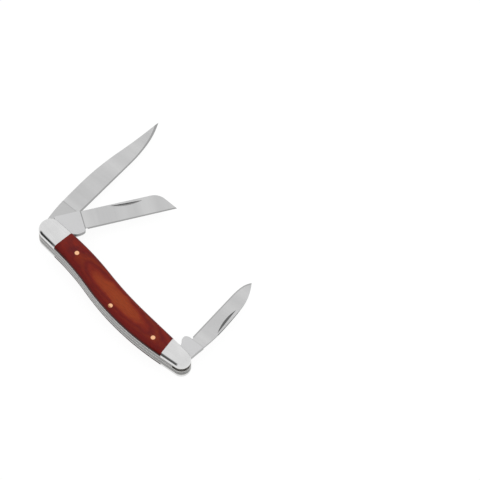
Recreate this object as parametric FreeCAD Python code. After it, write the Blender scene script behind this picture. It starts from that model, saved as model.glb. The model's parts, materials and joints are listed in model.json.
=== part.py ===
import FreeCAD, Part
import math
import os

# Folding pocket knife with three blades on two pivots, lying on its rear side with the blades part open.
# Millimetres. X runs along the handle from the master end to the pen end, Y towards the side where the
# blades come out, and Z up through the layers from the rear scale's flat face.

# Pivots
PIVOT_SPAN = 85.3
SPAN_OFFSET = 0.85
MASTER_HEIGHT = 4.0
PEN_DROP = 1.7
PIVOT_PIN_R = 1.3
PIVOT_CLEARANCE = 0.04

# Handle outline: the back and front run straight at both ends, and one arc rounds each end between them.
# Places are measured from the nearer pivot, those of the belly, shoulder and waist from the master pivot.
MASTER_TO_BACK = 6.7
MASTER_TO_FRONT = 3.9
MASTER_END_RUN = 0.75
BACK_RUN = 9.0
BELLY_X = 53.5
BELLY_DEPTH = 10.5
SHOULDER_X = 9.0
SHOULDER_HEIGHT = 4.3
WAIST_X = 60.0
WAIST_HEIGHT = 1.95
PEN_BOLSTER = 6.0
PEN_BOLSTER_BACK = 6.4
PEN_TO_FRONT = 4.0
PEN_END_RUN = 3.75

# Layers, from the rear face up
COVER_T = 2.6
COVER_ROUND = 1.8
COVER_WALL = 0.2
LINER_T = 0.5
CENTER_LINER_T = 0.4
SPRING_T = 2.3
SIDE_CLEARANCE = 0.08

# Joints between bolsters and scales, measured from the pivots
MASTER_BOLSTER = 7.9
PEN_JOINT_SLANT = 13.0

# Brass pins: scale pins from the shoulder and the pen pivot, spring pin from the deepest part of the belly
BRASS_PIN_R = 1.1
UPPER_PIN_RUN = 8.3
UPPER_PIN_DROP = 5.6
LOWER_PIN_RUN = 13.0
LOWER_PIN_DROP = 3.0
SPRING_PIN_RUN = 6.0
SPRING_PIN_INSET = 2.5

# Tangs and springs: the flats that a spring presses on, the lift of their corners, and the stop shoulder, whose
# end lies a little inside the back of the handle when the blade is open
MASTER_FLAT = 3.3
PEN_FLAT = 2.8
CAM_LIFT = 0.25
CAM_CLEARANCE = 0.08
STOP_RUN = 2.0
STOP_CLEARANCE = 0.05
TANG_INSET = 0.25
PAD_RUN = 4.2
MASTER_KICK_RUN = 10.8
MASTER_KICK_DEPTH = 5.3
PEN_KICK_RUN = 9.5
PEN_KICK_DEPTH = 4.75
KICK_TIP = 0.7
KICK_CLEARANCE = 0.2
SPRING_WALL = 1.9
LUG_R = 2.9
CHOIL_WIDTH = 1.2

# Grinds, which run a margin past the outline of the blank, and nail nicks
GRIND_MARGIN = 1.2
EDGE_T = 0.3
EDGE_FLAT = 0.06
EDGE_BEVEL = 0.5
NICK_LENGTH = 14.5
NICK_WIDTH = 1.4
NICK_DEPTH = 0.4

# Clip blade: runs along the cutting edge from the pivot, rises across it, slopes as rise over run
CLIP_TILT = -4.1
CLIP_REST = 101.0
CLIP_TIP_ROOM = 8.1
CLIP_TIP_RISE = 3.4
CLIP_TIP_SLOPE = 0.5
CLIP_BACK_SLOPE = -0.08
CLIP_HUMP_RUN = 27.5
CLIP_HUMP_RISE = 8.35
CLIP_RAMP_SLOPE = 0.2
CLIP_EDGE_RISE = -1.5
CLIP_BELLY_RUN = 50.0
CLIP_PLUNGE = 15.0
CLIP_ROOT_STEP = 0.24
CLIP_TIP_T = 0.8
CLIP_NICK_RUN = 38.0
CLIP_NICK_RISE = 6.2
CLIP_NICK_SLOPE = -0.09

# Sheepsfoot blade
SHEEPSFOOT_TILT = -1.6
SHEEPSFOOT_REST = 65.0
SHEEPSFOOT_LENGTH = 56.2
SHEEPSFOOT_NOSE_SLOPE = -1.6
SHEEPSFOOT_EDGE_RISE = -2.85
SHEEPSFOOT_SPINE_RISE = 6.4
SHEEPSFOOT_FALL_RUN = 46.5
SHEEPSFOOT_PLUNGE = 13.9
SHEEPSFOOT_ROOT_STEP = 0.6
SHEEPSFOOT_TIP_T = 0.75
SHEEPSFOOT_NICK_RUN = 36.2
SHEEPSFOOT_NICK_RISE = 5.4
SHEEPSFOOT_NICK_SLOPE = -0.05

# Pen blade
PEN_TILT = -3.4
PEN_REST = 85.0
PEN_LENGTH = 49.7
PEN_TIP_RISE = 1.3
PEN_TIP_SLOPE = 0.8
PEN_POINT_SLOPE = -0.7
PEN_HUMP_RUN = 22.0
PEN_HUMP_RISE = 6.75
PEN_RAMP_SLOPE = 0.1
PEN_EDGE_RISE = -1.35
PEN_BELLY_RUN = 39.0
PEN_PLUNGE = 10.8
PEN_ROOT_STEP = 0.8
PEN_TIP_T = 0.65
PEN_NICK_RUN = 27.5
PEN_NICK_RISE = 5.5
PEN_NICK_SLOPE = -0.09


def V(x, y, z=0.0):
    return FreeCAD.Vector(x, y, z)


RIGHT = V(1, 0)
LEFT = V(-1, 0)
UP = V(0, 1)
DOWN = V(0, -1)
AXIS = V(0, 0, 1)
ORIGIN = V(0, 0)

MASTER = V(-PIVOT_SPAN / 2 - SPAN_OFFSET, MASTER_HEIGHT)
PEN = V(PIVOT_SPAN / 2 - SPAN_OFFSET, MASTER_HEIGHT - PEN_DROP)
BELLY = MASTER + V(BELLY_X, -BELLY_DEPTH)
PEN_BACK = PEN - V(PEN_BOLSTER, PEN_BOLSTER_BACK)
BACK_CHORD = (PEN_BACK - BELLY) / (PEN_BACK - BELLY).Length
PEN_BACK_HEADING = BACK_CHORD * (2 * BACK_CHORD.x) - RIGHT
PEN_TO_BACK = PEN_BOLSTER_BACK - PEN_BACK_HEADING.y / PEN_BACK_HEADING.x * (PEN_BOLSTER + STOP_RUN)
MASTER_TANG_BACK = MASTER_TO_BACK - TANG_INSET
PEN_TANG_BACK = PEN_TO_BACK - TANG_INSET
UPPER_PIN = MASTER + V(SHOULDER_X + UPPER_PIN_RUN, SHOULDER_HEIGHT - UPPER_PIN_DROP)
LOWER_PIN = PEN - V(LOWER_PIN_RUN, LOWER_PIN_DROP)
SPRING_PIN = BELLY + V(-SPRING_PIN_RUN, SPRING_PIN_INSET)

REAR_LINER_Z = COVER_T
REAR_SLOT_Z = REAR_LINER_Z + LINER_T
CENTER_LINER_Z = REAR_SLOT_Z + SPRING_T
FRONT_SLOT_Z = CENTER_LINER_Z + CENTER_LINER_T
FRONT_LINER_Z = FRONT_SLOT_Z + SPRING_T
FRONT_COVER_Z = FRONT_LINER_Z + LINER_T
TOTAL_T = FRONT_COVER_Z + COVER_T
TANG_T = SPRING_T - 2 * SIDE_CLEARANCE
CLIP_LENGTH = PIVOT_SPAN - LUG_R - CLIP_TIP_ROOM
FAR = 2 * PIVOT_SPAN


def line(start, end):
    return Part.LineSegment(start, end).toShape()


def polygon(points):
    return [line(a, b) for a, b in zip(points, points[1:] + points[:1])]


def arc_from(start, heading, end):
    """Arc that leaves start along a unit heading and ends at end, or a line where end lies straight ahead."""
    chord = end - start
    side = V(-heading.y, heading.x)
    bulge = side.dot(chord)
    if abs(bulge) < 1e-6 * chord.Length:
        return line(start, end)
    radius = chord.dot(chord) / (2 * bulge)
    centre = start + side * radius
    half = (start + end) / 2 - centre
    return Part.Arc(start, centre + half * (abs(radius) / half.Length), end).toShape()


def flowing(start, start_heading, end, end_heading):
    """Two tangent arcs from start to end, along a given heading at each."""
    a = start_heading / start_heading.Length
    b = end_heading / end_heading.Length
    chord = end - start
    ahead = chord.dot(a + b)
    bend = 2 * (1 - a.dot(b))
    if bend < 1e-9:
        reach = chord.dot(chord) / (4 * chord.dot(b))
    else:
        reach = (math.sqrt(ahead ** 2 + bend * chord.dot(chord)) - ahead) / bend
    middle = (start + a * reach + end - b * reach) / 2
    return [arc_from(start, a, middle), arc_from(end, b * -1, middle)]


def prism(edges, z, height):
    outline = Part.Wire(Part.__sortEdges__(edges))
    outline.translate(V(0, 0, z))
    return Part.Face(outline).extrude(V(0, 0, height))


def rod(centre, radius):
    return Part.makeCylinder(radius, TOTAL_T, centre)


def drilled(shape, *holes):
    for centre, radius in holes:
        shape = shape.cut(rod(centre, radius))
    return shape


def rounded_end(start, heading, end, end_heading):
    """Arc that leaves a straight run at start and meets the one through end, and the place where it meets it."""
    a = AXIS.cross(heading) / heading.Length
    b = AXIS.cross(end_heading) / end_heading.Length
    radius = b.dot(start - end) / (1 - a.dot(b))
    meeting = start + (a - b) * radius
    return arc_from(start, heading / heading.Length, meeting), meeting


def handle_edges():
    """Handle outline: along the back, round the pen end, along the front and round the master end."""
    back_corner = MASTER - V(0, MASTER_TO_BACK)
    back = back_corner + V(BACK_RUN, 0)
    front_corner = MASTER + V(0, MASTER_TO_FRONT)
    shoulder = MASTER + V(SHOULDER_X, SHOULDER_HEIGHT)
    waist = MASTER + V(WAIST_X, WAIST_HEIGHT)
    pen_front = PEN + V(0, PEN_TO_FRONT)
    pen_back = PEN_BACK + PEN_BACK_HEADING * (PEN_BOLSTER + PEN_END_RUN)
    pen_end, pen_top = rounded_end(pen_back, PEN_BACK_HEADING, pen_front, waist - pen_front)
    leaving = front_corner - shoulder
    master_top = front_corner + leaving * (MASTER_END_RUN / leaving.Length)
    master_end, master_base = rounded_end(master_top, leaving, back_corner, RIGHT)
    edges = [line(master_base, back)] + flowing(back, RIGHT, BELLY, RIGHT) + [arc_from(BELLY, RIGHT, PEN_BACK)]
    edges += [line(PEN_BACK, pen_back), pen_end, line(pen_top, waist)]
    edges += flowing(waist, waist - pen_front, shoulder, leaving)
    return edges + [line(shoulder, master_top), master_end]


def plate(z, thickness):
    return prism(handle_edges(), z, thickness)


def cover(z, outer_z):
    """Bolsters and scale of one side, ground as one block and rounded over all round its outer face."""
    block = plate(z, COVER_T)
    rim = [e for e in block.Edges if all(abs(v.Z - outer_z) < COVER_T / 2 for v in e.Vertexes)]
    return block.makeFillet(min(COVER_ROUND, COVER_T - COVER_WALL), rim)


def before_joint(joint, slant):
    """Everything on the master side of the joint between a scale and a bolster."""
    block = Part.makeBox(FAR, 2 * FAR, 2 * FAR, joint - V(FAR, FAR, FAR))
    block.rotate(joint, AXIS, slant)
    return block


def split_cover(block):
    """Master bolster, scale and pen bolster, cut from one side at its two joints."""
    master_side = before_joint(MASTER + V(MASTER_BOLSTER, 0), 0)
    pen_side = before_joint(PEN - V(PEN_BOLSTER, 0), PEN_JOINT_SLANT)
    return block.common(master_side), block.common(pen_side).cut(master_side), block.cut(pen_side)


def spring(inner_edge, z):
    """Spring of one slot: the handle outline behind its inner edge."""
    start = inner_edge[0].Vertexes[0].Point
    end = inner_edge[-1].Vertexes[-1].Point
    behind = [line(end, V(end.x, -FAR)), line(V(end.x, -FAR), V(start.x, -FAR)), line(V(start.x, -FAR), start)]
    return plate(z, SPRING_T).common(prism(inner_edge + behind, z, SPRING_T))


def master_half():
    """Inner edge of both springs from the master end to the spring pin: tang pad, relief under the kick."""
    pad = MASTER_FLAT + CAM_LIFT + CAM_CLEARANCE
    tip = MASTER - V(STOP_RUN - STOP_CLEARANCE, pad)
    pad_end = MASTER + V(PAD_RUN, -pad)
    relief = MASTER + V(MASTER_KICK_RUN - KICK_TIP, -MASTER_KICK_DEPTH - KICK_CLEARANCE)
    waist = SPRING_PIN + V(0, SPRING_WALL)
    return [line(tip, pad_end)] + flowing(pad_end, RIGHT, relief, RIGHT) + flowing(relief, RIGHT, waist, RIGHT)


def front_spring():
    """Double-ended spring of the sheepsfoot and the pen blade."""
    pad = PEN_FLAT + CAM_LIFT + CAM_CLEARANCE
    waist = SPRING_PIN + V(0, SPRING_WALL)
    relief = PEN - V(PEN_KICK_RUN - KICK_TIP, PEN_KICK_DEPTH + KICK_CLEARANCE)
    pad_end = PEN - V(PAD_RUN, pad)
    tip = PEN + V(STOP_RUN - STOP_CLEARANCE, -pad)
    pen_half = flowing(waist, RIGHT, relief, RIGHT) + flowing(relief, RIGHT, pad_end, RIGHT)
    return spring(master_half() + pen_half + [line(pad_end, tip)], FRONT_SLOT_Z)


def rear_spring():
    """Spring of the clip blade, whose other end fills the slot round the pen pivot pin."""
    waist = SPRING_PIN + V(0, SPRING_WALL)
    foot = PEN - V(PEN_KICK_RUN, PEN_KICK_DEPTH)
    lug_side = PEN - V(LUG_R, 0)
    lug_top = PEN + V(0, LUG_R)
    end = PEN + V(FAR, LUG_R)
    pen_half = flowing(waist, RIGHT, foot, RIGHT) + flowing(foot, RIGHT, lug_side, UP)
    pen_half += flowing(lug_side, UP, lug_top, RIGHT) + [line(lug_top, end)]
    return spring(master_half() + pen_half, REAR_SLOT_Z)


def tang_edges(back, flat, kick_run, kick_depth, choil):
    """Tang of a shut blade about its pivot: stop shoulder, open, half-stop and shut flats, kick to choil."""
    corner = flat - CAM_LIFT / (math.sqrt(2) - 1)
    inner = flat - corner
    kick = V(kick_run - KICK_TIP, -kick_depth)
    edges = [line(V(STOP_RUN, back), V(STOP_RUN, flat)), line(V(STOP_RUN, flat), V(-inner, flat))]
    edges += flowing(V(-inner, flat), LEFT, V(-flat, inner), DOWN)
    edges += [line(V(-flat, inner), V(-flat, -inner))]
    edges += flowing(V(-flat, -inner), DOWN, V(-inner, -flat), RIGHT)
    edges += [line(V(-inner, -flat), V(PAD_RUN, -flat))]
    edges += flowing(V(PAD_RUN, -flat), RIGHT, kick, RIGHT)
    return edges + flowing(kick, RIGHT, choil, UP)


def laid(tilt):
    """Places a run along the cutting edge and a rise across it, for a shut blade that lies at a tilt."""
    cos = math.cos(math.radians(tilt))
    sin = math.sin(math.radians(tilt))
    return lambda run, rise: V(run * cos - rise * sin, run * sin + rise * cos)


def grind(at, runs, rises, thicknesses, centres):
    """Flat-ground stock from the plunge line past the tip: a wedge that also thins towards the tip."""
    edge_rise, spine_rise = rises
    wires = []
    for run, spine_t, centre in zip(runs, thicknesses, centres):
        taper = (spine_t - EDGE_T) / (spine_rise - edge_rise)
        low = (EDGE_T - taper * GRIND_MARGIN) / 2
        high = (spine_t + taper * GRIND_MARGIN) / 2
        bottom = at(run, edge_rise - GRIND_MARGIN) + AXIS * centre
        top = at(run, spine_rise + GRIND_MARGIN) + AXIS * centre
        corners = [bottom - AXIS * low, top - AXIS * high, top + AXIS * high, bottom + AXIS * low]
        wires.append(Part.Wire(polygon(corners)))
    return Part.makeLoft(wires, True, True)


def past(tip, heading):
    """Point a little way beyond the tip of a blade."""
    return tip + heading * (2 * GRIND_MARGIN / heading.Length)


def bevel(stretch, across):
    """What sharpening takes off above one stretch of cutting edge that lies at height zero."""
    start = stretch.Vertexes[0].Point
    end = stretch.Vertexes[-1].Point
    curved = isinstance(stretch.Curve, Part.Circle)
    inward = stretch.Curve.Center - start if curved else AXIS.cross(end - start)
    inward = inward * (math.copysign(1, inward.dot(across)) / inward.Length)
    slope = (EDGE_T - EDGE_FLAT) / (2 * EDGE_BEVEL)
    low = [start + inward * d + AXIS * (EDGE_FLAT / 2 + slope * d) for d in (-GRIND_MARGIN, 4 * EDGE_BEVEL)]
    high = [start + inward * d + AXIS * SPRING_T for d in (4 * EDGE_BEVEL, -GRIND_MARGIN)]
    section = Part.Face(Part.Wire(polygon(low + high)))
    if not curved:
        return section.extrude(end - start)
    centre = stretch.Curve.Center
    turn = (start - centre).cross(end - centre)
    angle = math.degrees((start - centre).getAngle(end - centre))
    return section.revolve(centre, AXIS * math.copysign(1, turn.z), angle)


def edged(at, runs, rises, thicknesses, centres, course):
    """Ground stock with its cutting edge, from the plunge line to past the tip, and the edge's second bevel."""
    start = course[0].Vertexes[0].Point
    end = course[-1].Vertexes[-1].Point
    over = [end, end + at(0, FAR), start + at(0, FAR), start]
    outline = course + [line(a, b) for a, b in zip(over, over[1:])]
    upper = [bevel(stretch, at(0, 1)) for stretch in course]
    waste = Part.Compound(upper + [solid.mirror(ORIGIN, AXIS) for solid in upper])
    lean = math.degrees(math.atan2(centres[1] - centres[0], runs[1] - runs[0]))
    waste.rotate(at(runs[0], 0), at(0, 1), -lean)
    waste.translate(AXIS * centres[0])
    wedge = grind(at, runs, rises, thicknesses, centres)
    return wedge.common(prism(outline, 0, TOTAL_T)).cut(waste.Solids)


def ground_blade(at, slot_z, tang, spine, plunge, edge_rise, stock):
    """Blank of full tang thickness with choil and pivot hole, cut down to the stock beyond the plunge line."""
    tip = spine[0].Vertexes[0].Point
    beyond = past(tip, spine[0].tangentAt(spine[0].FirstParameter) * -1)
    choil = at(plunge, edge_rise)
    heel = at(plunge + CHOIL_WIDTH, edge_rise)
    under = [heel, heel - at(0, 3 * GRIND_MARGIN), V(beyond.x, heel.y) - at(0, 6 * GRIND_MARGIN), beyond, tip]
    edges = tang + flowing(choil, UP, heel, at(0, -1)) + [line(a, b) for a, b in zip(under, under[1:])] + spine
    blank = prism(edges, slot_z + SIDE_CLEARANCE, TANG_T)
    ground = prism(polygon([at(plunge, -FAR), at(plunge, FAR), at(FAR, FAR), at(FAR, -FAR)]), slot_z, SPRING_T)
    return drilled(blank.cut(ground.cut(stock)), (ORIGIN, PIVOT_PIN_R + PIVOT_CLEARANCE))


def nicked(blade, at, run, rise, slope, side):
    """Nail nick in the front face (side 1) or the rear one (side -1): a crescent cut by a flat cone on edge."""
    place = at(run, rise)
    through = blade.common(line(place - AXIS * FAR, place + AXIS * FAR)).BoundBox
    face_z = through.ZMax if side > 0 else through.ZMin
    radius = (NICK_LENGTH ** 2 / 4 + NICK_DEPTH ** 2) / (2 * NICK_DEPTH)
    centre = place + AXIS * (face_z + side * (radius - NICK_DEPTH))
    return blade.cut(Part.makeCone(radius, 0, NICK_WIDTH * radius / NICK_DEPTH, centre, at(slope, -1)))


def opened(blade, pivot, angle):
    blade.rotate(ORIGIN, AXIS, angle)
    blade.translate(pivot)
    return blade


def clip_blade():
    at = laid(CLIP_TILT)
    tip = at(CLIP_LENGTH, CLIP_TIP_RISE)
    hump = at(CLIP_HUMP_RUN, CLIP_HUMP_RISE)
    belly = at(CLIP_BELLY_RUN, CLIP_EDGE_RISE)
    back = V(STOP_RUN, MASTER_TANG_BACK)
    point = at(1, CLIP_TIP_SLOPE)
    tang = tang_edges(back.y, MASTER_FLAT, MASTER_KICK_RUN, MASTER_KICK_DEPTH, at(CLIP_PLUNGE, CLIP_EDGE_RISE))
    course = [line(at(CLIP_PLUNGE - GRIND_MARGIN, CLIP_EDGE_RISE), belly)]
    course += flowing(belly, at(1, 0), tip, point) + [line(tip, past(tip, point))]
    spine = flowing(tip, at(-1, -CLIP_BACK_SLOPE), hump, at(-1, 0))
    spine += flowing(hump, at(-1, 0), back, at(-1, -CLIP_RAMP_SLOPE))
    middle = REAR_SLOT_Z + SPRING_T / 2
    stock = edged(at, (CLIP_PLUNGE, CLIP_LENGTH + GRIND_MARGIN), (CLIP_EDGE_RISE, CLIP_HUMP_RISE),
                  (TANG_T - CLIP_ROOT_STEP, CLIP_TIP_T), (middle, middle), course)
    blade = ground_blade(at, REAR_SLOT_Z, tang, spine, CLIP_PLUNGE, CLIP_EDGE_RISE, stock)
    blade = nicked(blade, at, CLIP_NICK_RUN, CLIP_NICK_RISE, CLIP_NICK_SLOPE, -1)
    return opened(blade, MASTER, CLIP_REST)


def sheepsfoot_blade():
    at = laid(SHEEPSFOOT_TILT)
    tip = at(SHEEPSFOOT_LENGTH, SHEEPSFOOT_EDGE_RISE)
    fall = at(SHEEPSFOOT_FALL_RUN, SHEEPSFOOT_SPINE_RISE)
    choil = at(SHEEPSFOOT_PLUNGE, SHEEPSFOOT_EDGE_RISE)
    back = V(STOP_RUN, MASTER_TANG_BACK)
    tang = tang_edges(back.y, MASTER_FLAT, MASTER_KICK_RUN, MASTER_KICK_DEPTH, choil)
    course = [line(at(SHEEPSFOOT_PLUNGE - GRIND_MARGIN, SHEEPSFOOT_EDGE_RISE), past(tip, at(1, 0)))]
    spine = flowing(tip, at(-1, -SHEEPSFOOT_NOSE_SLOPE), fall, at(-1, 0)) + [line(fall, back)]
    rear = FRONT_SLOT_Z + SIDE_CLEARANCE
    thicknesses = (TANG_T - SHEEPSFOOT_ROOT_STEP, SHEEPSFOOT_TIP_T)
    centres = [rear + t / 2 for t in thicknesses]
    stock = edged(at, (SHEEPSFOOT_PLUNGE, SHEEPSFOOT_LENGTH + GRIND_MARGIN),
                  (SHEEPSFOOT_EDGE_RISE, SHEEPSFOOT_SPINE_RISE), thicknesses, centres, course)
    blade = ground_blade(at, FRONT_SLOT_Z, tang, spine, SHEEPSFOOT_PLUNGE, SHEEPSFOOT_EDGE_RISE, stock)
    blade = nicked(blade, at, SHEEPSFOOT_NICK_RUN, SHEEPSFOOT_NICK_RISE, SHEEPSFOOT_NICK_SLOPE, 1)
    return opened(blade, MASTER, SHEEPSFOOT_REST)


def pen_blade():
    at = laid(PEN_TILT)
    tip = at(PEN_LENGTH, PEN_TIP_RISE)
    hump = at(PEN_HUMP_RUN, PEN_HUMP_RISE)
    belly = at(PEN_BELLY_RUN, PEN_EDGE_RISE)
    back = V(STOP_RUN, PEN_TANG_BACK)
    point = at(1, PEN_TIP_SLOPE)
    tang = tang_edges(back.y, PEN_FLAT, PEN_KICK_RUN, PEN_KICK_DEPTH, at(PEN_PLUNGE, PEN_EDGE_RISE))
    course = [line(at(PEN_PLUNGE - GRIND_MARGIN, PEN_EDGE_RISE), belly)]
    course += flowing(belly, at(1, 0), tip, point) + [line(tip, past(tip, point))]
    spine = flowing(tip, at(-1, -PEN_POINT_SLOPE), hump, at(-1, 0))
    spine += flowing(hump, at(-1, 0), back, at(-1, -PEN_RAMP_SLOPE))
    front = FRONT_LINER_Z - SIDE_CLEARANCE
    thicknesses = (TANG_T - PEN_ROOT_STEP, PEN_TIP_T)
    centres = [front - t / 2 for t in thicknesses]
    stock = edged(at, (PEN_PLUNGE, PEN_LENGTH + GRIND_MARGIN), (PEN_EDGE_RISE, PEN_HUMP_RISE), thicknesses,
                  centres, course)
    blade = ground_blade(at, FRONT_SLOT_Z, tang, spine, PEN_PLUNGE, PEN_EDGE_RISE, stock)
    blade = nicked(blade, at, PEN_NICK_RUN, PEN_NICK_RISE, PEN_NICK_SLOPE, 1)
    return opened(blade.mirror(ORIGIN, RIGHT), PEN, -PEN_REST)


def side_nodes(side, liner_z, cover_z, outer_z):
    """Liner, bolsters, scale and scale pins of one side."""
    pins = {"upper": UPPER_PIN, "lower": LOWER_PIN}
    scale_holes = [(place, BRASS_PIN_R) for place in (UPPER_PIN, LOWER_PIN, SPRING_PIN)]
    block = cover(cover_z, outer_z)
    liner = plate(liner_z, LINER_T)
    stack = block.fuse(liner)
    master_bolster, scale, pen_bolster = split_cover(block)
    nodes = {
        "liner": drilled(liner, (MASTER, PIVOT_PIN_R), (PEN, PIVOT_PIN_R), *scale_holes),
        "master_bolster": drilled(master_bolster, (MASTER, PIVOT_PIN_R)),
        "scale": drilled(scale, *scale_holes),
        "pen_bolster": drilled(pen_bolster, (PEN, PIVOT_PIN_R)),
    }
    for name, place in pins.items():
        nodes[name + "_scale_pin"] = rod(place, BRASS_PIN_R).common(stack)
    return {side + "_" + name: shape for name, shape in nodes.items()}, block


def build():
    nodes, rear = side_nodes("rear", REAR_LINER_Z, 0, 0)
    front_nodes, front = side_nodes("front", FRONT_LINER_Z, FRONT_COVER_Z, TOTAL_T)
    nodes.update(front_nodes)
    whole = plate(REAR_LINER_Z, FRONT_COVER_Z - REAR_LINER_Z).fuse([rear, front])
    pivots = [(MASTER, PIVOT_PIN_R), (PEN, PIVOT_PIN_R)]
    spring_hole = (SPRING_PIN, BRASS_PIN_R)
    nodes["center_liner"] = drilled(plate(CENTER_LINER_Z, CENTER_LINER_T), *pivots, spring_hole)
    nodes["front_spring"] = drilled(front_spring(), spring_hole)
    nodes["rear_spring"] = drilled(rear_spring(), spring_hole, pivots[1])
    nodes["master_pivot_pin"] = rod(MASTER, PIVOT_PIN_R).common(whole)
    nodes["pen_pivot_pin"] = rod(PEN, PIVOT_PIN_R).common(whole)
    nodes["spring_pin"] = rod(SPRING_PIN, BRASS_PIN_R).common(whole)
    nodes["clip_blade"] = clip_blade()
    nodes["sheepsfoot_blade"] = sheepsfoot_blade()
    nodes["pen_blade"] = pen_blade()
    return nodes


os.makedirs("parts", exist_ok=True)
for name, shape in build().items():
    shape.exportStep("parts/" + name + ".step")
    print(name, len(shape.Solids), shape.isValid(), round(shape.Volume, 2))
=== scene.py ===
import bpy
import json
import math
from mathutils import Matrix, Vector


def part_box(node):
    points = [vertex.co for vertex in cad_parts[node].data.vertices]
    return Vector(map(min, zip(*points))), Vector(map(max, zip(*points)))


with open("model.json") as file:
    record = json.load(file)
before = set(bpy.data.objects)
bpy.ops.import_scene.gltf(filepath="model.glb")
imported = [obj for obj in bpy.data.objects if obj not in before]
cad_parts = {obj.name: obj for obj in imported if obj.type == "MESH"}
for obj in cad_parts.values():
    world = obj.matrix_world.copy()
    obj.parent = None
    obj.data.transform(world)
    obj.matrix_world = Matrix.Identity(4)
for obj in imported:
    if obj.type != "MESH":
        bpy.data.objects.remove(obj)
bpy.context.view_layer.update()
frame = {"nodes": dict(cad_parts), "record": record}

nodes = frame["nodes"]
bpy.ops.object.select_all(action="DESELECT")

# Liners: three thin sheets of nickel silver, punched to the handle's outline and left flat inside.
# Only their edges show, as fine pale lines between springs and covers, ground with the rest of the back.


def put(tree, kind, sockets=(), **settings):
    made = tree.nodes.new("ShaderNode" + kind)
    for name, value in settings.items():
        setattr(made, name, value)
    for name, value in dict(sockets).items():
        if isinstance(value, bpy.types.NodeSocket):
            tree.links.new(value, made.inputs[name])
        else:
            made.inputs[name].default_value = value
    return made


def start_material(name, **values):
    material = bpy.data.materials.new(name)
    material.use_nodes = True
    shader = material.node_tree.nodes["Principled BSDF"]
    for socket, value in values.items():
        shader.inputs[socket.replace("_", " ")].default_value = value
    return material, material.node_tree, shader


def dress(material, *names):
    for name in names:
        nodes[name].data.materials.clear()
        nodes[name].data.materials.append(material)


def mix_colours(tree, factor, first, second, blend="MIX"):
    mixed = put(tree, "Mix", data_type="RGBA", blend_type=blend)
    for socket, value in ((mixed.inputs[0], factor), (mixed.inputs[6], first), (mixed.inputs[7], second)):
        if isinstance(value, bpy.types.NodeSocket):
            tree.links.new(value, socket)
        else:
            socket.default_value = value
    return mixed.outputs[2]


def spread(tree, value, low, high, to_low, to_high):
    return put(tree, "MapRange", {"Value": value, "From Min": low, "From Max": high,
                                  "To Min": to_low, "To Max": to_high}).outputs["Result"]


grind_lines = bpy.data.node_groups.new("grind_lines", "ShaderNodeTree")
grind_lines.interface.new_socket("Vector", in_out="INPUT", socket_type="NodeSocketVector")
grind_lines.interface.new_socket("Lines per metre", in_out="INPUT", socket_type="NodeSocketFloat")
grind_lines.interface.new_socket("Lines", in_out="OUTPUT", socket_type="NodeSocketFloat")
grind_lines.interface.new_socket("Smudges", in_out="OUTPUT", socket_type="NodeSocketFloat")
group_in = grind_lines.nodes.new("NodeGroupInput")
group_out = grind_lines.nodes.new("NodeGroupOutput")
LINE_STRETCH = (0.03, 1.0, 1.0)
SMUDGES_PER_METRE = 130.0
stretched = put(grind_lines, "VectorMath", {0: group_in.outputs["Vector"], 1: LINE_STRETCH},
                operation="MULTIPLY")
fine = put(grind_lines, "TexNoise", {"Vector": stretched.outputs[0], "Detail": 3.0, "Roughness": 0.6,
                                     "Scale": group_in.outputs["Lines per metre"]})
broad = put(grind_lines, "TexNoise", {"Vector": group_in.outputs["Vector"], "Scale": SMUDGES_PER_METRE,
                                      "Detail": 4.0})
grind_lines.links.new(fine.outputs["Fac"], group_out.inputs["Lines"])
grind_lines.links.new(broad.outputs["Fac"], group_out.inputs["Smudges"])


LINE_HEIGHT = 0.00002


def finish_metal(tree, shader, vector, lines_per_metre, roughness, depth):
    grind = put(tree, "Group", node_tree=grind_lines)
    tree.links.new(vector, grind.inputs["Vector"])
    grind.inputs["Lines per metre"].default_value = lines_per_metre
    both = put(tree, "Math", {0: grind.outputs["Lines"], 1: grind.outputs["Smudges"]}, operation="ADD")
    tree.links.new(spread(tree, both.outputs[0], 0.7, 1.3, *roughness), shader.inputs["Roughness"])
    relief = put(tree, "Bump", {"Height": grind.outputs["Lines"], "Strength": depth, "Distance": LINE_HEIGHT})
    tree.links.new(relief.outputs["Normal"], shader.inputs["Normal"])
    return grind


LINER_DULL = (0.60, 0.59, 0.57, 1.0)
LINER_BRIGHT = (0.74, 0.73, 0.71, 1.0)
LINER_LINES = 9000.0
liner_metal, tree, shader = start_material("nickel_silver_liner", Metallic=1.0)
place = put(tree, "TexCoord").outputs["Object"]
grind = finish_metal(tree, shader, place, LINER_LINES, (0.22, 0.42), 0.15)
tone = mix_colours(tree, spread(tree, grind.outputs["Smudges"], 0.3, 0.7, 0.0, 1.0),
                   LINER_DULL, LINER_BRIGHT)
tree.links.new(tone, shader.inputs["Base Color"])
dress(liner_metal, "rear_liner", "center_liner", "front_liner")

# Springs: two hardened carbon steel bars, pinned at the middle, whose ends press on the tangs.
# Their backs are ground with the handle and polished lengthways; their inner edges stay dull.

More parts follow.
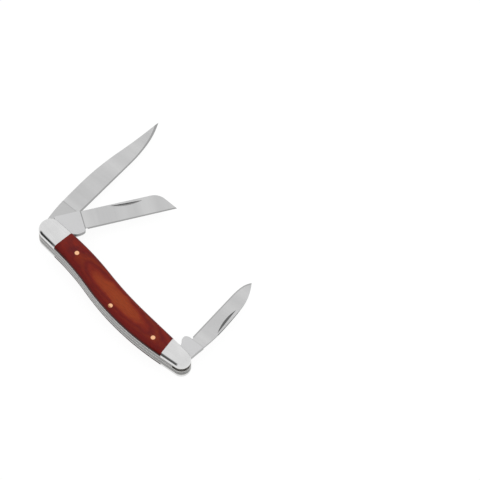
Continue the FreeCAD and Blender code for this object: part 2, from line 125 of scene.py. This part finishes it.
SPRING_DARK = (0.16, 0.16, 0.16, 1.0)
SPRING_PALE = (0.30, 0.30, 0.29, 1.0)
SPRING_LINES = 7000.0
SEAM = (0.05, 0.05, 0.05, 1.0)
SEAM_INNER = 0.00025
SEAM_OUTER = 0.0001
SEAM_REACH = 0.00005
spring_steel, tree, shader = start_material("polished_spring_steel", Metallic=1.0)
place = put(tree, "TexCoord").outputs["Object"]
grind = finish_metal(tree, shader, place, SPRING_LINES, (0.18, 0.40), 0.2)
tone = mix_colours(tree, spread(tree, grind.outputs["Lines"], 0.35, 0.65, 0.0, 1.0),
                   SPRING_DARK, SPRING_PALE)
height = put(tree, "SeparateXYZ", {"Vector": place}).outputs["Z"]
for name in ("front_spring", "rear_spring"):
    low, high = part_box(name)
    off = put(tree, "Math", {0: height, 1: (low[2] + high[2]) / 2}, operation="SUBTRACT")
    off = put(tree, "Math", {0: off.outputs[0]}, operation="ABSOLUTE").outputs[0]
    half = (high[2] - low[2]) / 2
    inside = put(tree, "Math", {0: off, 1: half + SEAM_REACH}, operation="LESS_THAN").outputs[0]
    seam = spread(tree, off, half - SEAM_INNER, half - SEAM_OUTER, 0.0, 1.0)
    seam = put(tree, "Math", {0: seam, 1: inside}, operation="MULTIPLY").outputs[0]
    tone = mix_colours(tree, seam, tone, SEAM)
tree.links.new(tone, shader.inputs["Base Color"])
dress(spring_steel, "front_spring", "rear_spring")

# Blades: clip, sheepsfoot and pen, blanked from stainless steel sheet and flat ground from spine to edge.
# The ground part is satin with fine lines across it; the tang before the plunge line is smoother and paler,
# except on the clip, whose tang is painted darker as shade under the sheepsfoot's tang.

BLADE_STEEL = (0.62, 0.62, 0.62, 1.0)
BLADE_STEEL_DULL = (0.525, 0.525, 0.527, 1.0)
# Painted shade: a dark grey line along each blade's plunge crease.
PLUNGE_PAINTED_SHADE = (0.24, 0.24, 0.24, 1.0)
SATIN_LINES = 5000.0
GRINDING_PASSES = 110.0
PLUNGE_BLEND = 0.0002
PLUNGE_INNER = 0.0001
PLUNGE_OUTER = 0.0004
BEVEL_UPRIGHT = 0.975
FACE_UPRIGHT = 0.99
NICK_HALF_LENGTH = 0.0078
NICK_HALF_WIDTH = 0.0016


def blade_steel(name, pivot, run_angle, plunge, tang_steel, plunge_shade_depth, arris_shade, nick):
    material, tree, shader = start_material(name + "_satin_steel", Metallic=1.0)
    surface = put(tree, "TexCoord")
    along = put(tree, "Mapping", {"Vector": surface.outputs["Object"], "Location": (pivot[0], pivot[1], 0.0),
                                  "Rotation": (0.0, 0.0, math.radians(run_angle))},
                vector_type="TEXTURE")
    turned = put(tree, "Mapping", {"Vector": along.outputs[0], "Rotation": (0.0, 0.0, math.pi / 2)})
    finish_metal(tree, shader, turned.outputs[0], SATIN_LINES, (0.30, 0.46), 0.25)
    passes = put(tree, "Group", {"Vector": turned.outputs[0], "Lines per metre": GRINDING_PASSES},
                 node_tree=grind_lines)
    satin = mix_colours(tree, spread(tree, passes.outputs["Lines"], 0.3, 0.7, 0.0, 1.0),
                        BLADE_STEEL_DULL, BLADE_STEEL)
    run, across, _ = put(tree, "SeparateXYZ", {"Vector": along.outputs[0]}).outputs
    ground = spread(tree, run, plunge - PLUNGE_BLEND, plunge + PLUNGE_BLEND, 0.0, 1.0)
    faces = mix_colours(tree, ground, tang_steel, satin)
    # Painted shade along the plunge crease, its strength given per blade.
    from_plunge = put(tree, "Math", {0: run, 1: plunge}, operation="SUBTRACT")
    from_plunge = put(tree, "Math", {0: from_plunge.outputs[0]}, operation="ABSOLUTE").outputs[0]
    plunge_shade = spread(tree, from_plunge, PLUNGE_INNER, PLUNGE_OUTER, plunge_shade_depth, 0.0)
    faces = mix_colours(tree, plunge_shade, faces, PLUNGE_PAINTED_SHADE)
    upright = put(tree, "SeparateXYZ", {"Vector": surface.outputs["Normal"]}).outputs["Z"]
    upright = put(tree, "Math", {0: upright}, operation="ABSOLUTE").outputs[0]
    flat = spread(tree, upright, BEVEL_UPRIGHT, FACE_UPRIGHT, 0.0, 1.0)
    nick_run, nick_across, nick_shade = nick
    near = put(tree, "Math", {0: run, 1: nick_run, 2: NICK_HALF_LENGTH}, operation="COMPARE")
    beside = put(tree, "Math", {0: across, 1: nick_across, 2: NICK_HALF_WIDTH}, operation="COMPARE")
    in_nick = put(tree, "Math", {0: near.outputs[0], 1: beside.outputs[0]}, operation="MULTIPLY").outputs[0]
    # Painted shade: every tilted face (edge bevels, spine and nick walls) takes the darker arris grey, and
    # the walls of the nail nick a grey of their own, as shade.
    cuts_painted_shade = mix_colours(tree, in_nick, arris_shade, (nick_shade, nick_shade, nick_shade, 1.0))
    tree.links.new(mix_colours(tree, flat, cuts_painted_shade, faces), shader.inputs["Base Color"])
    return material


MASTER_PIVOT = frame["record"]["behaviour"]["joints"][0]["pos_m"]
PEN_PIVOT = frame["record"]["behaviour"]["joints"][2]["pos_m"]
# Painted shade: darker greys for the blades' tilted faces; the pen's is lighter.
ARRIS_PAINTED_SHADE = (0.36, 0.36, 0.36, 1.0)
ARRIS_LIGHTER_PAINTED_SHADE = (0.42, 0.42, 0.42, 1.0)
# Painted shade: the clip's tang gets a darker grey than the others, as the shade where it lies under the
# sheepsfoot's tang.
CLIP_TANG_PAINTED_SHADE = (0.53, 0.53, 0.53, 1.0)
PALE_TANG = (0.62, 0.62, 0.625, 1.0)
# Each nick: run and across from the pivot, then the grey painted in it as shade.
CLIP_NICK = (0.0380, 0.0062, 0.24)
SHEEPSFOOT_NICK = (0.0362, 0.0054, 0.32)
PEN_NICK = (0.0275, -0.0055, 0.14)
dress(blade_steel("clip", MASTER_PIVOT, 96.9, 0.0150, CLIP_TANG_PAINTED_SHADE, 0.4, ARRIS_PAINTED_SHADE, CLIP_NICK),
      "clip_blade")
dress(blade_steel("sheepsfoot", MASTER_PIVOT, 63.4, 0.0139, PALE_TANG, 0.8, ARRIS_PAINTED_SHADE, SHEEPSFOOT_NICK),
      "sheepsfoot_blade")
dress(blade_steel("pen", PEN_PIVOT, 98.4, 0.0108, PALE_TANG, 0.2, ARRIS_LIGHTER_PAINTED_SHADE, PEN_NICK),
      "pen_blade")

# Bolsters and pivot pins: nickel silver end caps soldered to the liners, with the pivot pins spun into them,
# then ground flush as one face and buffed along the handle until the pins can hardly be seen.

BOLSTER_DULL = (0.67, 0.67, 0.67, 1.0)
BOLSTER_BRIGHT = (0.74, 0.74, 0.74, 1.0)
BUFFING_MARK = (0.54, 0.54, 0.54, 1.0)
POLISH_LINES = 4000.0
BUFFING_LINES = 1500.0
BUFFING_SHARE = 0.15


def buffed_bolster(name, spine_point, spine_angle):
    material, tree, shader = start_material(name + "_buffed_nickel_silver", Metallic=1.0)
    place = put(tree, "TexCoord").outputs["Object"]
    along = put(tree, "Mapping", {"Vector": place, "Location": (*spine_point, 0.0),
                                  "Rotation": (0.0, 0.0, math.radians(spine_angle))},
                vector_type="TEXTURE").outputs[0]
    grind = finish_metal(tree, shader, along, POLISH_LINES, (0.07, 0.15), 0.02)
    tone = mix_colours(tree, spread(tree, grind.outputs["Smudges"], 0.3, 0.7, 0.0, 1.0),
                       BOLSTER_DULL, BOLSTER_BRIGHT)
    buffing = put(tree, "Group", {"Vector": along, "Lines per metre": BUFFING_LINES}, node_tree=grind_lines)
    marked = spread(tree, buffing.outputs["Lines"], 0.58, 0.44, 0.0, BUFFING_SHARE)
    tone = mix_colours(tree, marked, tone, BUFFING_MARK)
    tree.links.new(tone, shader.inputs["Base Color"])
    return material


dress(buffed_bolster("master", (-0.0440, -0.0027), 0.0),
      "rear_master_bolster", "front_master_bolster", "master_pivot_pin")
dress(buffed_bolster("pen", (0.0372, -0.0038), 10.6),
      "rear_pen_bolster", "front_pen_bolster", "pen_pivot_pin")

# Scales: slabs of dyed, resin-soaked wood veneer, glued in layers, pinned to the liners and buffed.
# Where the rounding cuts through the layers they show as long nested ovals, orange-brown inside maroon.

WARPS_PER_METRE = 110.0
WARP_CENTRE = (0.5, 0.5, 0.5)
WARP_REACH = (0.016, 0.0030, 0.0008)
OVAL_MIDDLE = (0.0036, 0.0011, 0.0)
OVAL_TURN = math.radians(-3.0)
OVAL_HALF_AXES = (0.0190, 0.0037, 1.0)
LAYER_STEP = 0.0016
LAYERS_SHOWN = 3.0
scale_wood, tree, shader = start_material("dyed_laminated_wood", IOR=1.5, Specular_IOR_Level=0.08,
                                          Coat_Weight=0.08, Coat_Roughness=0.06)
place = put(tree, "TexCoord").outputs["Object"]
_, scale_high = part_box("front_scale")
HANDLE_MIDDLE = scale_high[2] / 2
warp = put(tree, "TexNoise", {"Vector": place, "Scale": WARPS_PER_METRE, "Detail": 4.0, "Roughness": 0.6})
warped = put(tree, "VectorMath", {0: warp.outputs["Color"], 1: WARP_CENTRE}, operation="SUBTRACT")
warped = put(tree, "VectorMath", {0: warped.outputs[0], 1: WARP_REACH}, operation="MULTIPLY")
moved = put(tree, "VectorMath", {0: place, 1: warped.outputs[0]}, operation="ADD")
split = put(tree, "SeparateXYZ", {"Vector": moved.outputs[0]})
depth = put(tree, "Math", {0: split.outputs["Z"], 1: HANDLE_MIDDLE}, operation="SUBTRACT")
depth = put(tree, "Math", {0: depth.outputs[0]}, operation="ABSOLUTE")
depth = put(tree, "Math", {0: HANDLE_MIDDLE, 1: depth.outputs[0]}, operation="SUBTRACT")
oval = put(tree, "CombineXYZ", {"X": split.outputs["X"], "Y": split.outputs["Y"]})
oval = put(tree, "Mapping", {"Vector": oval.outputs[0], "Location": OVAL_MIDDLE,
                             "Rotation": (0.0, 0.0, OVAL_TURN), "Scale": OVAL_HALF_AXES},
           vector_type="TEXTURE")
rings = put(tree, "VectorMath", {0: oval.outputs[0]}, operation="LENGTH").outputs["Value"]
layers = put(tree, "Math", {0: depth.outputs[0], 1: 1 / LAYER_STEP, 2: rings}, operation="MULTIPLY_ADD")
ramp = put(tree, "ValToRGB", {"Fac": spread(tree, layers.outputs[0], 0.0, LAYERS_SHOWN, 0.0, 1.0)})
figure = ramp.color_ramp
VENEERS = (
    (0.00, (0.320, 0.052, 0.013, 1.0)),
    (0.24, (0.290, 0.040, 0.011, 1.0)),
    (0.32, (0.215, 0.018, 0.008, 1.0)),
    (0.39, (0.155, 0.010, 0.008, 1.0)),
    (0.47, (0.225, 0.024, 0.007, 1.0)),
    (0.57, (0.145, 0.008, 0.008, 1.0)),
    (0.68, (0.225, 0.018, 0.009, 1.0)),
    (0.80, (0.150, 0.011, 0.009, 1.0)),
    (1.00, (0.185, 0.013, 0.008, 1.0)),
)
while len(figure.elements) < len(VENEERS):
    figure.elements.new(0.5)
for element, (position, colour) in zip(figure.elements, VENEERS):
    element.position = position
    element.color = colour
PLUM = (0.105, 0.012, 0.014, 1.0)
PLUM_SHARE = 0.6
BLOTCHES_PER_METRE = 190.0
blotches = put(tree, "TexNoise", {"Vector": place, "Scale": BLOTCHES_PER_METRE, "Detail": 3.0,
                                  "Roughness": 0.55}).outputs["Fac"]
blotched = put(tree, "Math", {0: spread(tree, blotches, 0.46, 0.64, 0.0, PLUM_SHARE),
                              1: spread(tree, rings, 1.0, 1.7, 0.0, 1.0)}, operation="MULTIPLY").outputs[0]
figure_colour = mix_colours(tree, blotched, ramp.outputs["Color"], PLUM)
# Painted shade: within a few millimetres of the curved spine outline the wood is painted a deeper, darker
# red, as the shade on the spine side.
BELLY = (0.010, -0.0065)
BELLY_CURVE = 3.6
SPINE_AT_MASTER = -0.0027
SPINE_SHADE_RED = (0.150, 0.006, 0.004, 1.0)
SPINE_SHADE_FROM = 0.0046
SPINE_SHADE_FULL = 0.0016
SPINE_SHADE_SHARE = 0.8
here = put(tree, "SeparateXYZ", {"Vector": place})
off_belly = put(tree, "Math", {0: here.outputs["X"], 1: BELLY[0]}, operation="SUBTRACT").outputs[0]
off_belly = put(tree, "Math", {0: off_belly, 1: off_belly}, operation="MULTIPLY").outputs[0]
spine = put(tree, "Math", {0: off_belly, 1: BELLY_CURVE, 2: BELLY[1]}, operation="MULTIPLY_ADD").outputs[0]
spine = put(tree, "Math", {0: spine, 1: SPINE_AT_MASTER}, operation="MINIMUM").outputs[0]
from_spine = put(tree, "Math", {0: here.outputs["Y"], 1: spine}, operation="SUBTRACT").outputs[0]
spine_shade = spread(tree, from_spine, SPINE_SHADE_FROM, SPINE_SHADE_FULL, 0.0, SPINE_SHADE_SHARE)
spine_shaded = mix_colours(tree, spine_shade, figure_colour, SPINE_SHADE_RED)
GRAIN_STRETCH = (0.06, 1.0, 1.0)
PORES_PER_METRE = 5200.0
PORE_DEPTH = 0.00003
# Painted shade: the wood darkens with depth below its outer face, down the rounding and sides, to 0.12 of its
# colour.
EDGE_SHADE_FROM = 0.0003
EDGE_SHADE_FULL = 0.0018
EDGE_SHADE_DARKNESS = 0.12
stretched = put(tree, "VectorMath", {0: place, 1: GRAIN_STRETCH}, operation="MULTIPLY")
pores = put(tree, "TexNoise", {"Vector": stretched.outputs[0], "Scale": PORES_PER_METRE, "Detail": 2.0})
grain_and_edge_shade = spread(tree, pores.outputs["Fac"], 0.35, 0.65, 0.82, 1.1)
edge_shade = spread(tree, depth.outputs[0], EDGE_SHADE_FROM, EDGE_SHADE_FULL, 1.0, EDGE_SHADE_DARKNESS)
grain_and_edge_shade = put(tree, "Math", {0: grain_and_edge_shade, 1: edge_shade}, operation="MULTIPLY").outputs[0]
tinted = put(tree, "VectorMath", {0: spine_shaded, 1: grain_and_edge_shade}, operation="MULTIPLY")
tree.links.new(tinted.outputs[0], shader.inputs["Base Color"])
tree.links.new(spread(tree, pores.outputs["Fac"], 0.3, 0.7, 0.30, 0.42), shader.inputs["Roughness"])
relief = put(tree, "Bump", {"Height": pores.outputs["Fac"], "Strength": 0.12, "Distance": PORE_DEPTH})
tree.links.new(relief.outputs["Normal"], shader.inputs["Normal"])
dress(scale_wood, "rear_scale", "front_scale")

# Brass pins: lengths of round rod driven through scale and liner, then ground flush with the wood.
# A dark ring shows where each pin meets the wood, and the spring pin's side towards the spine is painted
# darker, as shade.

BRASS = (0.93, 0.52, 0.30, 1.0)
BRASS_RIM_AND_SHADE = (0.30, 0.13, 0.05, 1.0)
BRASS_LINES = 6000.0
RIM_FROM = 0.84
RIM_FULL = 0.97
SIDE_SHADE_BLEND = 0.0003
SIDE_SHADE_SHARE = 0.85
NO_SIDE_SHADE = -0.01
SPRING_PIN_SHADE_OFFSET = -0.0002


def pin_brass(name, shade_from):
    material, tree, shader = start_material(name + "_brass", Metallic=1.0)
    low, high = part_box(name)
    middle = ((low[0] + high[0]) / 2, (low[1] + high[1]) / 2, 0.0)
    radius = (high[0] - low[0]) / 2
    place = put(tree, "TexCoord").outputs["Object"]
    finish_metal(tree, shader, place, BRASS_LINES, (0.16, 0.34), 0.15)
    split = put(tree, "SeparateXYZ", {"Vector": place})
    level = put(tree, "CombineXYZ", {"X": split.outputs["X"], "Y": split.outputs["Y"]})
    out = put(tree, "VectorMath", {0: level.outputs[0], 1: middle}, operation="DISTANCE").outputs["Value"]
    rim_and_shade = spread(tree, out, radius * RIM_FROM, radius * RIM_FULL, 0.0, 1.0)
    # Painted shade: on the spring pin, the side towards the spine takes the dark rim colour.
    shade_line = middle[1] + shade_from
    shaded_side = spread(tree, split.outputs["Y"], shade_line, shade_line - SIDE_SHADE_BLEND, 0.0, SIDE_SHADE_SHARE)
    rim_and_shade = put(tree, "Math", {0: rim_and_shade, 1: shaded_side}, operation="MAXIMUM").outputs[0]
    tree.links.new(mix_colours(tree, rim_and_shade, BRASS, BRASS_RIM_AND_SHADE), shader.inputs["Base Color"])
    return material


for name in ("rear_upper_scale_pin", "rear_lower_scale_pin",
             "front_upper_scale_pin", "front_lower_scale_pin"):
    dress(pin_brass(name, NO_SIDE_SHADE), name)
dress(pin_brass("spring_pin", SPRING_PIN_SHADE_OFFSET), "spring_pin")

# Studio: a white table in a white room, which polished faces mirror, with one soft lamp overhead.
# Two small grey cards stand by the spine, dark below and fading out, and the bolsters' roundings mirror them.
# The room lights the knife less from low down, so that the sides turned to the table stay darker.


def seen_directly(tree):
    ray = put(tree, "LightPath")
    seen = ray.outputs["Is Camera Ray"]
    for kind in ("Is Glossy Ray", "Is Transmission Ray"):
        seen = put(tree, "Math", {0: seen, 1: ray.outputs[kind]}, operation="MAXIMUM").outputs[0]
    return seen


TABLE_SIZE = 4.0
TABLE_DROP = 0.0001
TABLE_WHITE = (0.9, 0.9, 0.9, 1.0)
TABLE_GLOW_SHARE = 0.85
TABLE_GLOW = 1.06
bpy.ops.mesh.primitive_plane_add(size=TABLE_SIZE, location=(0.0, 0.0, -TABLE_DROP))
table = bpy.context.object
table.name = "table"
white, tree, shader = start_material("white_table", Base_Color=TABLE_WHITE, Roughness=0.9)
glow = put(tree, "Math", {0: seen_directly(tree), 1: TABLE_GLOW_SHARE}, operation="MULTIPLY")
shine = put(tree, "Emission", {"Strength": TABLE_GLOW})
lit = put(tree, "MixShader", {0: glow.outputs[0], 1: shader.outputs[0], 2: shine.outputs[0]})
tree.links.new(lit.outputs[0], tree.nodes["Material Output"].inputs["Surface"])
table.data.materials.append(white)

CARD_HEIGHT = 0.054
CARD_WIDTH = 0.028
CARD_FADE_FROM = -0.08
CARD_FADE_FULL = 0.28
CARD_SIDE_FROM = 0.25
CARD_SIDE_FULL = 0.5


def stand_card(name, place, turn, brightness):
    bpy.ops.mesh.primitive_plane_add(size=1.0, location=(*place, CARD_HEIGHT / 2),
                                     rotation=(math.pi / 2, 0.0, math.radians(turn)))
    card = bpy.context.object
    card.name = name
    card.scale = (CARD_WIDTH, CARD_HEIGHT, 1.0)
    card.visible_camera = False
    card.visible_shadow = False
    card.visible_diffuse = False
    paper, tree, _ = start_material(name + "_paper")
    aside, up, _ = put(tree, "SeparateXYZ", {"Vector": put(tree, "TexCoord").outputs["Object"]}).outputs
    aside = put(tree, "Math", {0: aside}, operation="ABSOLUTE").outputs[0]
    fade_up = spread(tree, up, CARD_FADE_FROM, CARD_FADE_FULL, brightness, 1.0)
    fade_aside = spread(tree, aside, CARD_SIDE_FROM, CARD_SIDE_FULL, brightness, 1.0)
    fade = put(tree, "Math", {0: fade_up, 1: fade_aside}, operation="MAXIMUM")
    shine = put(tree, "Emission", {"Strength": fade.outputs[0]})
    tree.links.new(shine.outputs[0], tree.nodes["Material Output"].inputs["Surface"])
    card.data.materials.append(paper)


stand_card("master_card", (-0.0530, -0.0200), -28.0, 0.05)
stand_card("pen_card", (0.0375, -0.0220), -10.0, 0.12)

SKY_FULL_AT = 0.80
SKY_LOW = 0.35
SKY_HIGH = 0.97
world = bpy.data.worlds.new("white_room")
bpy.context.scene.world = world
world.use_nodes = True
tree = world.node_tree
up = put(tree, "SeparateXYZ", {"Vector": put(tree, "TexCoord").outputs["Generated"]}).outputs["Z"]
sky = spread(tree, up, 0.0, SKY_FULL_AT, SKY_LOW, SKY_HIGH)
background = tree.nodes["Background"]
strength = put(tree, "Math", {0: sky, 1: seen_directly(tree)}, operation="MAXIMUM")
tree.links.new(strength.outputs[0], background.inputs["Strength"])
background.inputs["Color"].default_value = (1.0, 1.0, 1.0, 1.0)

FILL_PLACE = (0.1, 0.25, 0.7)
FILL_AIM = Vector((0.0, 0.03, 0.0))
bpy.ops.object.light_add(type="AREA", location=FILL_PLACE)
fill = bpy.context.object
fill.name = "fill"
fill.data.shape = "SQUARE"
fill.data.size = 0.6
fill.data.energy = 0.6
fill.visible_glossy = False
fill.rotation_euler = (FILL_AIM - fill.location).to_track_quat("-Z", "Y").to_euler()

# Camera: a long lens from about 30 degrees off straight above, turned to the side of the pen blade.
# It aims beside the knife, so that the knife stands in the left half of the frame.

AZIMUTH = math.radians(48.1)
ELEVATION = math.radians(60.0)
AIM = Vector((0.0150, 0.0634, 0.0056))
FRAME_WIDTH = 0.2147
bpy.ops.object.camera_add()
camera = bpy.context.object
camera.data.lens = 500.0
camera.data.sensor_width = 36.0
camera.data.clip_start = 0.01
toward_camera = Vector((math.sin(AZIMUTH) * math.cos(ELEVATION), -math.cos(AZIMUTH) * math.cos(ELEVATION),
                        math.sin(ELEVATION)))
camera.location = AIM + toward_camera * (FRAME_WIDTH * camera.data.lens / camera.data.sensor_width)
camera.rotation_euler = toward_camera.to_track_quat("Z", "Y").to_euler()
bpy.context.scene.camera = camera
bpy.context.scene.view_settings.view_transform = "Standard"
